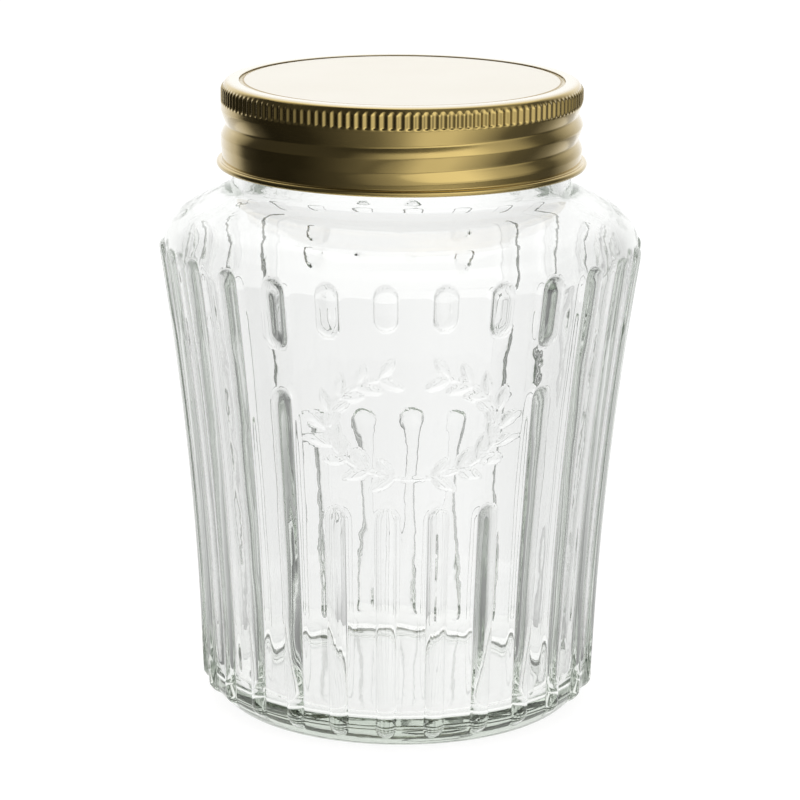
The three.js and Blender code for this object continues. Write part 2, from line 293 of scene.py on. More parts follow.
@dataclass(frozen=True)
class CreamLacquer:
    """Tinplate under a baked cream lacquer: a pale low-gloss coat with a faint orange peel.

    A thin darker gold line, painted shade of the disc's small step, ends the coat near the disc's
    edge, and a paler gold margin lies outside it.
    """

    colour: str = "#F1ECDF"
    shade: str = "#E9E3D3"
    # Darker line painted at the disc's small step as its shade.
    step_shade_colour: str = "#B1975A"
    margin_colour: str = "#E2D6B6"
    coat_radius_mm: float = 31.6
    step_shade_width_mm: float = 0.3
    line_ease: float = 0.3
    roughness: float = 0.3
    ior: float = 1.5
    peel_mm: float = 0.9
    peel_height_mm: float = 0.004
    cloud_mm: float = 22.0

    def material(self) -> Material:
        """Makes the lacquer, clouded a little and finely uneven as a baked coat is.

        Returns:
            The material.
        """
        look = Look("tinplate_cream_lacquered")
        place = look.place()
        clouds = look.noise(place, self.cloud_mm)
        coated = look.mix(clouds, linear(self.colour), linear(self.shade))
        level = {0: place, 1: (1.0, 1.0, 0.0)}
        flat = add_node(look.tree, "ShaderNodeVectorMath", {"operation": "MULTIPLY"}, level)
        length = {0: flat.outputs["Vector"]}
        radius = add_node(look.tree, "ShaderNodeVectorMath", {"operation": "LENGTH"}, length)
        # The first ring is a darker line of painted shade at the disc's small step; the second is
        # the paler gold margin outside it.
        reach = self.coat_radius_mm
        for code in (self.step_shade_colour, self.margin_colour):
            eased = reach + self.line_ease * self.step_shade_width_mm
            ends = {"From Min": reach * MM, "From Max": eased * MM}
            past = look.fit(radius.outputs["Value"], ends)
            coated = look.mix(past, coated, linear(code))
            reach += self.step_shade_width_mm
        peel = look.noise(place, self.peel_mm)
        inputs = {
            "Base Color": coated,
            "Roughness": self.roughness,
            "IOR": self.ior,
            "Normal": look.bump(peel, self.peel_height_mm),
        }
        return look.surface(inputs)


@dataclass(frozen=True)
class SealCompound:
    """Cast sealing compound: a dull, slightly pitted off-white rubber."""

    colour: str = "#DAD5C9"
    pit_colour: str = "#C8C2B3"
    roughness: float = 0.62
    ior: float = 1.5
    pit_mm: float = 0.7
    pit_detail: float = 3.0
    pit_height_mm: float = 0.03

    def material(self) -> Material:
        """Makes the compound, speckled and pitted at the same scale.

        Returns:
            The material.
        """
        look = Look("plastisol_seal_cast")
        pits = look.noise(look.place(), self.pit_mm, self.pit_detail)
        inputs = {
            "Base Color": look.mix(pits, linear(self.pit_colour), linear(self.colour)),
            "Roughness": self.roughness,
            "IOR": self.ior,
            "Normal": look.bump(pits, self.pit_height_mm),
        }
        return look.surface(inputs)


@dataclass(frozen=True)
class StudioCard:
    """Matt sheet of the studio: an even tone without a shine, glowing where it is lit through."""

    name: str
    colour: str
    glow: float

    def material(self) -> Material:
        """Makes the sheet's matt surface and its glow.

        Returns:
            The material.
        """
        look = Look(self.name)
        inputs = {
            "Base Color": linear(self.colour),
            "Roughness": 1.0,
            "Specular IOR Level": 0.0,
            "Emission Color": linear("#FFFFFF"),
            "Emission Strength": self.glow,
        }
        return look.surface(inputs)


def pairs(radii: float | Array, heights: float | Array) -> Profile:
    """Points of a profile from radii and heights, where one number serves for all points."""
    flat = np.broadcast_arrays(np.asarray(radii, float), np.asarray(heights, float))
    return list(zip(flat[0].tolist(), flat[1].tolist()))


def corner_curve(start: Pair, corner: Pair, end: Pair, steps: int) -> Profile:
    """Points of a rounded corner of a profile, both ends included.

    Args:
        start: Radius and height where the rounding starts.
        corner: The sharp corner that it replaces.
        end: Radius and height where it ends.
        steps: Number of stretches.

    Returns:
        The points, as radius and height.
    """
    shares = np.linspace(0.0, 1.0, steps + 1)
    a, b, c = (np.array(p) for p in (start, corner, end))
    curve = [(1 - t) ** 2 * a + 2 * t * (1 - t) * b + t**2 * c for t in shares]
    return [(float(p[0]), float(p[1])) for p in curve]


def smooth(share: Array) -> Array:
    """Eases a share from 0 to 1 with level ends."""
    held = np.clip(share, 0.0, 1.0)
    return held * held * (3.0 - 2.0 * held)


def mesh_object(name: str, spots: list, faces: list) -> Object:
    """Makes an object from points and faces and links it to the scene.

    Args:
        name: Name of the object and of its mesh.
        spots: Points in metres.
        faces: Faces, by the places of their corners in the list of points.

    Returns:
        The object.
    """
    mesh = bpy.data.meshes.new(name)
    mesh.from_pydata(spots, [], faces)
    thing = bpy.data.objects.new(name, mesh)
    bpy.context.scene.collection.objects.link(thing)
    return thing


def turned_object(
    name: str, radii: Array, heights: Array, angles: Array, winding: Winding
) -> Object:
    """Makes a smooth closed mesh from rows of points round the jar's axis.

    Args:
        name: Name of the object.
        radii: Radius of each point in millimetres, rows by columns.
        heights: Height of each point in millimetres, rows by columns.
        angles: Angle of each column in radians.
        winding: Whether the rows close into a ring or end in points on the axis.

    Returns:
        The object, linked to the scene.
    """
    rows, columns = radii.shape
    spots = np.stack(
        [radii * np.sin(angles), -radii * np.cos(angles), np.broadcast_to(heights, radii.shape)],
        axis=-1,
    ).reshape(-1, 3)
    index = np.arange(rows * columns).reshape(rows, columns)
    turned = np.roll(index, -1, axis=1)
    upper, upper_turned = np.roll(index, -1, axis=0), np.roll(turned, -1, axis=0)
    quads = np.stack([index, turned, upper_turned, upper], axis=-1).reshape(-1, 4)
    triangles = np.zeros((0, 3), dtype=int)
    if winding is Winding.POLES:
        quads = quads[:-columns]
        poles = np.array([[0.0, 0.0, heights[0, 0]], [0.0, 0.0, heights[-1, 0]]])
        spots = np.concatenate([spots, poles])
        first, last = rows * columns, rows * columns + 1
        below = np.stack([np.full(columns, first), turned[0], index[0]], axis=-1)
        above = np.stack([np.full(columns, last), index[-1], turned[-1]], axis=-1)
        triangles = np.concatenate([below, above])
    a, b, c, d = (spots[quads[:, i]] for i in range(4))
    volume = np.einsum("ij,ij->", a, np.cross(b, c)) + np.einsum("ij,ij->", a, np.cross(c, d))
    if volume < 0:
        quads, triangles = quads[:, ::-1], triangles[:, ::-1]
    piece = mesh_object(name, (spots * MM).tolist(), quads.tolist() + triangles.tolist())
    piece.data.validate()
    piece.data.shade_smooth()
    return piece


def seat(piece: Object, body: Body, node: str) -> None:
    """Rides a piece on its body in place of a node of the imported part.

    Args:
        piece: The finished piece.
        body: Body that it moves with.
        node: Node that it stands for.
    """
    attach(piece, body.value)
    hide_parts(node)


def node_box(node: str) -> tuple[Vector, Vector]:
    """Lowest and highest corner of a node, in millimetres."""
    low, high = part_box(node)
    return low / MM, high / MM


def thread_pitch() -> float:
    """Rise of the screw in one turn, in millimetres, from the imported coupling."""
    return frame["record"]["behaviour"]["couplings"][0]["ratio"] * FULL_TURN / MM


class Piece(ABC):
    """A piece of the jar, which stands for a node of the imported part."""

    body: ClassVar[Body]
    node: ClassVar[str]
    slot: ClassVar[Slot]
    finish: Finish

    @abstractmethod
    def build(self) -> Object:
        """Builds the piece as one closed mesh."""

    def dress(self) -> Object:
        """Builds the piece, gives it its finish and seats it on its body.

        Returns:
            The finished piece.
        """
        piece = self.build()
        piece.data.materials.append(self.finish.material())
        seat(piece, self.body, self.node)
        return piece


@dataclass
class Helix:
    """Screw line that the band's rolled groove and the glass thread follow.

    Heights are in millimetres and angles in degrees.
    """

    start_height: float
    start_angle: float
    turns: float
    pitch: float
    fade: float = 26.0

    def nearest(self, angles: Array, heights: Array) -> tuple[Array, Array]:
        """Finds how far points lie above the nearest turn, or below it.

        Args:
            angles: Angles of the points in degrees.
            heights: Heights of the points.

        Returns:
            The height over the nearest turn, and the share of the full form there.
        """
        sweep = self.turns * 360.0
        first = np.mod(angles - self.start_angle, 360.0)
        off = np.full(np.broadcast(angles, heights).shape, np.inf)
        share = np.zeros_like(off)
        for turn in range(math.ceil(self.turns) + 1):
            along = first + 360.0 * turn
            over = heights - self.start_height - self.pitch * along / 360.0
            runs = smooth(np.minimum(along, sweep - along) / self.fade)
            nearer = np.abs(over) < np.abs(off)
            share = np.where(nearer, runs, share)
            off = np.where(nearer, over, off)
        return off, share


@dataclass(frozen=True)
class Wreath:
    """Raised wreath of two plain leafy sprays in the front panel, in millimetres."""

    middle_height: float = 67.8
    half_width: float = 17.0
    half_height: float = 10.6
    leaf_length: float = 5.4
    leaf_width: float = 2.0
    leaf_pairs: int = 9
    lean: float = 38.0
    first_turn: float = -78.0
    last_turn: float = 66.0
    stem_width: float = 0.9
    stem_share: float = 0.7
    emboss: float = 0.5

    def relief(self, across: Array, heights: Array) -> Array:
        """Height of the raised wreath over the panel.

        Args:
            across: Distance round the wall from the panel's middle.
            heights: Heights of the same points.

        Returns:
            How far each point is raised.
        """
        up = heights - self.middle_height
        raised = self._stem(across, up)
        for side in (-1.0, 1.0):
            for turn in np.radians(np.linspace(self.first_turn, self.last_turn, self.leaf_pairs)):
                root = (side * self.half_width * math.cos(turn), self.half_height * math.sin(turn))
                run = (-side * self.half_width * math.sin(turn), self.half_height * math.cos(turn))
                for lean in (-self.lean, self.lean):
                    way = math.atan2(run[1], run[0]) + math.radians(lean)
                    raised = np.maximum(raised, self._leaf(across - root[0], up - root[1], way))
        return raised

    def _stem(self, across: Array, up: Array) -> Array:
        """Raised line that the leaves grow from, open at the top.

        Args:
            across: Distance round the wall from the panel's middle.
            up: Height over the wreath's middle.

        Returns:
            How far each point is raised.
        """
        ratio = np.hypot(across / self.half_width, up / self.half_height)
        reach = 0.5 * (self.half_width + self.half_height)
        off = np.abs(ratio - 1.0) * reach / (0.5 * self.stem_width)
        turn = np.degrees(np.arctan2(up / self.half_height, np.abs(across) / self.half_width))
        line = np.sqrt(np.clip(1.0 - off**2, 0.0, 1.0))
        return self.stem_share * self.emboss * np.where(turn < self.last_turn, line, 0.0)

    def _leaf(self, across: Array, up: Array, way: float) -> Array:
        """One pointed leaf.

        Args:
            across: Distance round the wall from the leaf's root.
            up: Height over the root.
            way: Angle in radians that the leaf points at.

        Returns:
            How far each point is raised.
        """
        along = (across * math.cos(way) + up * math.sin(way)) / self.leaf_length
        aside = -across * math.sin(way) + up * math.cos(way)
        belly = 4.0 * along * (1.0 - along)
        half = 0.5 * self.leaf_width * np.clip(belly, 1e-6, 1.0)
        inside = (along > 0.0) & (along < 1.0)
        form = np.sqrt(np.clip(1.0 - (aside / half) ** 2, 0.0, 1.0))
        rises = np.sqrt(np.clip(belly, 0.0, 1.0))
        return self.emboss * np.where(inside, form * rises, 0.0)


@dataclass
class GlassJar(Piece):
    """Ribbed glass jar in one piece, in millimetres, with its neck thread."""

    body: ClassVar[Body] = Body.JAR
    node: ClassVar[str] = "glass_jar"
    slot: ClassVar[Slot] = Slot.CLEAR_GLASS
    foot_radius: float = 34.5
    bearing_width: float = 4.0
    push_up: float = 1.6
    push_up_power: float = 16.0
    heel_height: float = 5.2
    heel_power: float = 1.3
    base_radius: float = 39.3
    base_height: float = 4.3
    shoulder_radius: float = 48.6
    wall_bow: float = 1.62
    body_height: float = 99.7
    shoulder_ease: float = 5.2
    shoulder_rise: float = 7.6
    neck_ease: float = 1.4
    wall: float = 3.5
    floor: float = 5.4
    floor_round: float = 5.2
    rib_count: int = 26
    rib_width: float = 4.9
    rib_height: float = 1.07
    rib_power: float = 0.7
    pill_power: float = 0.32
    pill_zone: Pair = (77.0, 81.0)
    hollow_width: float = 6.4
    hollow_depth: float = 0.6
    inner_ease: float = 4.5
    inner_fall: float = 5.0
    throat_ease: float = 4.0
    rib_foot: float = 3.0
    tongue_share: float = 0.4
    rib_top: float = 96.2
    pill_lengths: tuple[float, ...] = (9.0, 10.8, 14.2)
    panel_rib_tops: tuple[float, ...] = (51.0, 51.0, 73.9)
    finish_radius: float = 34.2
    finish_wall: float = 3.1
    rim_round: float = 0.8
    thread_height: float = 1.35
    thread_root: float = 2.3
    thread_crest: float = 0.9
    thread_turns: float = 1.25
    thread_lead: float = 60.0
    thread_lift: float = 2.6
    groove_drop: float = 12.8
    groove_start: float = 1.5
    panel_half_angle: float = 24.0
    panel_step: float = 0.45
    least_step: float = 0.08
    wreath_half_angle: float = 30.0
    calm_floor: Pair = (2.0, 14.0)
    calm_shoulder: Pair = (1.0, 6.0)
    wreath: Wreath = Wreath()
    finish: ClearGlass = ClearGlass()

    def build(self) -> Object:
        """Builds the jar's skin: under the foot, up the outside, over the rim and down the inside.

        Returns:
            The glass as one closed mesh.
        """
        rim = node_box(self.node)[1].z
        angles = self._columns()
        outside = np.array(self._outer_profile(rim))
        inside = np.array(self._inner_profile(rim))
        outer = outside[:, :1] + self._relief(angles, outside[:, 1:])
        outer = outer + self._thread(angles, outside[:, 1:])
        inner = inside[:, :1] + self._unevenness(angles, inside)
        radii = np.concatenate([outer, inner])
        heights = np.concatenate([outside[:, 1:], inside[:, 1:]])
        return turned_object("jar_glass", radii, heights, np.radians(angles), Winding.POLES)

    def wall_radius(self, heights: Array) -> Array:
        """Outer radius of the heel and the flared wall between the ribs.

        Args:
            heights: Heights above the foot.

        Returns:
            Radius at each height.
        """
        flared = self._flare(heights)
        low = np.clip(1.0 - heights / self.heel_height, 0.0, 1.0)
        bulge = (1.0 - low**self.heel_power) ** (1.0 / self.heel_power)
        heel = self.foot_radius + (flared - self.foot_radius) * bulge
        return np.where(heights < self.heel_height, heel, flared)

    def _flare(self, heights: Array) -> Array:
        """Outer radius of the flared wall, carried on past the heel to the table.

        Args:
            heights: Heights above the foot.

        Returns:
            Radius at each height.
        """
        share = (heights - self.base_height) / (self.body_height - self.base_height)
        straight = self.base_radius + (self.shoulder_radius - self.base_radius) * share
        return straight - 4.0 * self.wall_bow * share * (1.0 - share)

    def _columns(self) -> Array:
        """Places the mesh's columns close at the ribs' flanks and across the front panel.

        Returns:
            Angles of the columns in degrees.
        """
        pitch = 360.0 / self.rib_count
        half = math.degrees(0.5 * self.rib_width / self.shoulder_radius)
        flank = np.array([0.0, 0.3, 0.55, 0.74, 0.87, 0.95, 1.0, 1.08, 1.35, 1.8]) * half
        offsets = np.concatenate([flank, -flank[1:], [0.5 * pitch]])
        ribs = (np.arange(self.rib_count)[:, None] + 0.5) * pitch + offsets[None, :]
        panel = np.arange(-self.panel_half_angle, self.panel_half_angle, self.panel_step)
        every = np.unique(np.round(np.mod(np.concatenate([ribs.ravel(), panel]), 360.0), 2))
        apart = np.concatenate([[True], np.diff(every) > self.least_step])
        return every[apart]

    def _slope_height(self, radius: float | Array) -> float | Array:
        """Height of the shoulder slope's outer face at a radius, or at each of several."""
        run = self.shoulder_radius - self.finish_radius
        return self.body_height + self.shoulder_rise * (self.shoulder_radius - radius) / run

    def _wall_point(self, height: float, inset: float = 0.0) -> Pair:
        """Point of the wall at a height, or inside it by an inset."""
        return (float(self.wall_radius(np.array(height))) - inset, height)

    def _outer_profile(self, rim: float) -> Profile:
        """Profile from the middle of the push-up to the outer edge of the rim.

        Args:
            rim: Height of the rim.

        Returns:
            The points, as radius and height.
        """
        hollow = self.foot_radius - self.bearing_width
        inward = hollow * np.sqrt(np.linspace(0.01, 0.97, 24))
        dome = pairs(inward, self.push_up * (1.0 - (inward / hollow) ** self.push_up_power))
        ring = [(hollow, 0.08), (hollow + 0.5, 0.0), (self.foot_radius - 0.6, 0.0)]
        turns = np.radians(np.linspace(4.0, 90.0, 16))
        top = self.body_height - self.shoulder_ease
        # Rows lie close where the panel's ribs end, across the wreath and over the pills.
        steps = (
            self.heel_height * (1.0 - np.cos(turns)),
            np.linspace(self.heel_height + 0.6, 48.2, 17),
            np.linspace(48.6, 51.6, 10),
            np.arange(51.9, 81.8, 0.36),
            np.arange(82.0, top, 0.42),
        )
        heights = np.concatenate(steps)
        walls = pairs(self.wall_radius(heights), heights)
        ease = self.shoulder_radius - self.shoulder_ease
        neck = self.body_height + self.shoulder_rise
        near = self.finish_radius + self.neck_ease
        corner = (self.shoulder_radius, self.body_height)
        end = (ease, self._slope_height(ease))
        shoulder = corner_curve(self._wall_point(top), corner, end, 26)
        sloped = np.linspace(ease, near, 9)[1:-1]
        slope = pairs(sloped, self._slope_height(sloped))
        throat = corner_curve(
            (near, self._slope_height(near)),
            (self.finish_radius, neck),
            (self.finish_radius, neck + self.neck_ease),
            6,
        )
        threaded = np.linspace(neck + self.neck_ease, rim - self.rim_round, 50)[1:-1]
        neck_wall = pairs(self.finish_radius, threaded)
        lip = corner_curve(
            (self.finish_radius, rim - self.rim_round),
            (self.finish_radius, rim),
            (self.finish_radius - self.rim_round, rim),
            6,
        )
        return dome + ring + walls + shoulder + slope + throat + neck_wall + lip

    def _inner_profile(self, rim: float) -> Profile:
        """Profile from the inner edge of the rim down to the middle of the floor.

        Args:
            rim: Height of the rim.

        Returns:
            The points, as radius and height.
        """
        mouth = self.finish_radius - self.finish_wall
        run = self.shoulder_radius - self.finish_radius
        drop = self.wall / math.cos(math.atan2(self.shoulder_rise, run))
        corner = self.shoulder_radius - self.wall
        ease = corner - self.inner_ease
        near = mouth + self.throat_ease
        turn = self._slope_height(corner) - drop
        top = turn - self.inner_fall
        bottom = self.floor + self.floor_round
        lip = corner_curve(
            (mouth + self.rim_round, rim), (mouth, rim), (mouth, rim - self.rim_round), 6
        )
        throat_height = self._slope_height(mouth) - drop
        eased = throat_height + self.throat_ease
        throat = corner_curve(
            (mouth, eased), (mouth, throat_height), (near, self._slope_height(near) - drop), 10
        )
        bore = pairs(mouth, np.linspace(rim - self.rim_round, eased, 8)[1:-1])
        sloped = np.linspace(near, ease, 4)[1:-1]
        slope = pairs(sloped, self._slope_height(sloped) - drop)
        shoulder = corner_curve(
            (ease, self._slope_height(ease) - drop),
            (corner, turn),
            self._wall_point(top, self.wall),
            14,
        )
        # Rows lie closer behind the panel than below it.
        steps = (np.linspace(top, 45.0, 70)[1:], np.linspace(44.0, bottom, 16)[1:-1])
        heights = np.concatenate(steps)
        walls = pairs(self.wall_radius(heights) - self.wall, heights)
        foot = self._wall_point(bottom, self.wall)[0]
        fillet = corner_curve(
            (foot, bottom), (foot, self.floor), (foot - self.floor_round, self.floor), 12
        )
        floor = pairs(np.linspace(foot - self.floor_round, 0.6, 12)[1:], self.floor)
        return lip + bore + throat + slope + shoulder + walls + fillet + floor

    def _stretches(self, rib: int) -> list[Pair]:
        """Splits a rib beside a panel into its lower stretch and its pill.

        Args:
            rib: Number of the rib, from the front.

        Returns:
            Lower and upper end of each stretch.
        """
        place = rib + 0.5
        from_panel = min(place, abs(place - self.rib_count / 2.0), self.rib_count - place)
        rank = math.floor(from_panel)
        if rank >= len(self.pill_lengths):
            return [(self.rib_foot, self.rib_top)]
        pill = (self.rib_top - self.pill_lengths[rank], self.rib_top)
        return [(self.rib_foot, self.panel_rib_tops[rank]), pill]

    def _rib_distance(self, angles: Array, heights: Array, width: float) -> Array:
        """How far points lie from the middle line of the nearest rib.

        Args:
            angles: Columns, in degrees.
            heights: Rows, as a column.
            width: Width of the form that follows the ribs, at the shoulder.

        Returns:
            Distance as a share of half the width, rows by columns, and at most one.
        """
        nearest = np.ones((len(heights), len(angles)))
        half = 0.5 * width
        for rib in range(self.rib_count):
            middle = (rib + 0.5) * 360.0 / self.rib_count
            aside = np.mod(angles - middle + 180.0, 360.0) - 180.0
            near = np.abs(aside) < 180.0 / self.rib_count
            across = np.radians(aside[near])[None, :] * self.shoulder_radius
            for low, high in self._stretches(rib):
                past = np.maximum(low + half - heights, heights - high + half)
                off = np.hypot(across, np.maximum(past, 0.0)) / half
                nearest[:, near] = np.minimum(nearest[:, near], off)
        return nearest

    def _relief(self, angles: Array, heights: Array) -> Array:
        """How far the ribs and the wreath stand off the wall.

        Args:
            angles: Columns, in degrees.
            heights: Rows, as a column.

        Returns:
            Relief of each point, rows by columns.
        """
        hang = self._flare(heights) - self.wall_radius(heights)
        stand = self.rib_height + self.tongue_share * hang
        off = self._rib_distance(angles, heights, self.rib_width)
        low, high = self.pill_zone
        crisp = smooth((heights - low) / (high - low))
        power = self.rib_power + (self.pill_power - self.rib_power) * crisp
        relief = stand * (1.0 - off**2) ** power
        aside = np.mod(angles + 180.0, 360.0) - 180.0
        front = np.abs(aside) < self.wreath_half_angle
        across = np.radians(aside[front])[None, :] * self.wall_radius(heights)
        raised = self.wreath.relief(across, heights)
        relief[:, front] = np.maximum(relief[:, front], raised)
        below_neck = heights[:, 0] < self.body_height + 0.5 * self.shoulder_rise
        return np.where(below_neck[:, None], relief, 0.0)

    def _thread(self, angles: Array, heights: Array) -> Array:
        """How far the screw thread stands off the neck.

        Args:
            angles: Columns, in degrees.
            heights: Rows, as a column.

        Returns:
            Relief of each point, rows by columns.
        """
        pitch = thread_pitch()
        top = node_box(ScrewBand.node)[1].z
        lowest = top - self.groove_drop + self.thread_lift - pitch * self.thread_lead / 360.0
        helix = Helix(lowest, self.groove_start - self.thread_lead, self.thread_turns, pitch)
        off, share = helix.nearest(angles[None, :], heights)
        root, crest = 0.5 * self.thread_root, 0.5 * self.thread_crest
        form = smooth((root - np.abs(off)) / (root - crest))
        on_neck = heights > self.body_height + self.shoulder_rise
        return np.where(on_neck, self.thread_height * share * form, 0.0)

    def _unevenness(self, angles: Array, profile: Array) -> Array:
        """Slight waves of the blown inside, which bend what is seen through the wall.

        Args:
            angles: Columns, in degrees.
            profile: Radius and height of the inner rows.

        Returns:
            Change of radius of each point, rows by columns.
        """
        turn = np.radians(angles)[None, :]
        height = profile[:, 1:]
        # Two broad waves run slantwise, a fine one runs up the wall and a fine one round it.
        waves = 0.07 * np.sin(3.0 * turn + height / 15.0)
        waves = waves + 0.05 * np.sin(8.0 * turn - height / 9.0 + 1.0)
        waves = waves + 0.018 * np.sin(31.0 * turn + 2.0 * np.sin(height / 7.0))
        waves = waves + 0.014 * np.sin(height / 1.9 + 2.0 * np.sin(5.0 * turn))
        off = self._rib_distance(angles, height, self.hollow_width)
        hollows = self.hollow_depth * np.cos(0.5 * math.pi * off) ** 2
        gap, run = self.calm_floor
        low = smooth((height - self.floor - gap) / run)
        gap, run = self.calm_shoulder
        high = smooth((self.body_height - gap - height) / run)
        return (waves + hollows) * low * high


@dataclass
class LidDisc(Piece):
    """Pressed disc with a raised middle, a flat edge and a turned-down rim, in millimetres."""

    body: ClassVar[Body] = Body.LID
    node: ClassVar[str] = "lid_disc"
    slot: ClassVar[Slot] = Slot.CREAM_LACQUER
    sheet: float = 0.3
    edge_width: float = 2.6
    step_width: float = 0.6
    rise: float = 0.25
    edge_round: float = 0.25
    hem: float = 0.1
    step_gap: float = 0.4
    first_ring: float = 0.5
    columns: int = 288
    finish: CreamLacquer = CreamLacquer()

    def build(self) -> Object:
        """Builds the disc from its middle over the edge and back to the middle underneath.

        Returns:
            The disc as one closed mesh.
        """
        low, high = node_box(self.node)
        radius = high.x
        top = high.z
        flat = top - self.rise
        step = radius - self.edge_width
        middle = step - self.step_width
        raised = middle - self.step_gap
        pressed = self._step(middle, step, top, flat)
        upper = pairs(np.linspace(self.first_ring, raised, 16), top) + pressed
        upper += [(radius - 2.0 * self.edge_round, flat)]
        upper += corner_curve(
            (radius - self.edge_round, flat), (radius, flat), (radius, flat - self.edge_round), 5
        )
        upper += [(radius, low.z + self.hem), (radius - self.hem, low.z)]
        inner = radius - self.sheet
        below = flat - self.sheet
        under = [(inner + self.hem, low.z), (inner, low.z + self.hem)]
        under += [(inner, below - self.hem), (inner - self.hem, below)]
        under += [(r, z - self.sheet) for r, z in reversed(pressed)]
        under += pairs(np.linspace(raised, self.first_ring, 14), top - self.sheet)
        profile = np.array(upper + under)
        angles = np.linspace(0.0, FULL_TURN, self.columns, endpoint=False)
        radii = np.repeat(profile[:, :1], self.columns, axis=1)
        return turned_object("lid_disc_pressed", radii, profile[:, 1:], angles, Winding.POLES)

    def _step(self, middle: float, step: float, top: float, flat: float) -> Profile:
        """Soft step from the raised middle down to the flat edge."""
        shares = np.linspace(0.0, 1.0, 9)
        return pairs(middle + (step - middle) * shares, top + (flat - top) * smooth(shares))


@dataclass
class SealingRing(Piece):
    """Ring of sealing compound between the disc and the glass rim, in millimetres."""

    body: ClassVar[Body] = Body.LID
    node: ClassVar[str] = "sealing_ring"
    slot: ClassVar[Slot] = Slot.SEAL_COMPOUND
    inner_radius: float = 31.5
    edge_round: float = 0.2
    columns: int = 192
    finish: SealCompound = SealCompound()

    def build(self) -> Object:
        """Builds the ring with rounded edges.

        Returns:
            The ring as one closed mesh.
        """
        low, high = node_box(self.node)
        inner, outer = self.inner_radius, high.x
        corners = [(inner, low.z), (outer, low.z), (outer, high.z), (inner, high.z)]
        profile: Profile = []
        for i, corner in enumerate(corners):
            start = self._toward(corner, corners[i - 1])
            end = self._toward(corner, corners[(i + 1) % len(corners)])
            profile += corner_curve(start, corner, end, 4)
        section = np.array(profile)
        angles = np.linspace(0.0, FULL_TURN, self.columns, endpoint=False)
        radii = np.repeat(section[:, :1], self.columns, axis=1)
        return turned_object("sealing_ring_cast", radii, section[:, 1:], angles, Winding.RING)

    def _toward(self, corner: Pair, other: Pair) -> Pair:
        """Point where the edge's rounding starts, on the way to another corner."""
        point = Vector(corner) + (Vector(other) - Vector(corner)).normalized() * self.edge_round
        return (point.x, point.y)


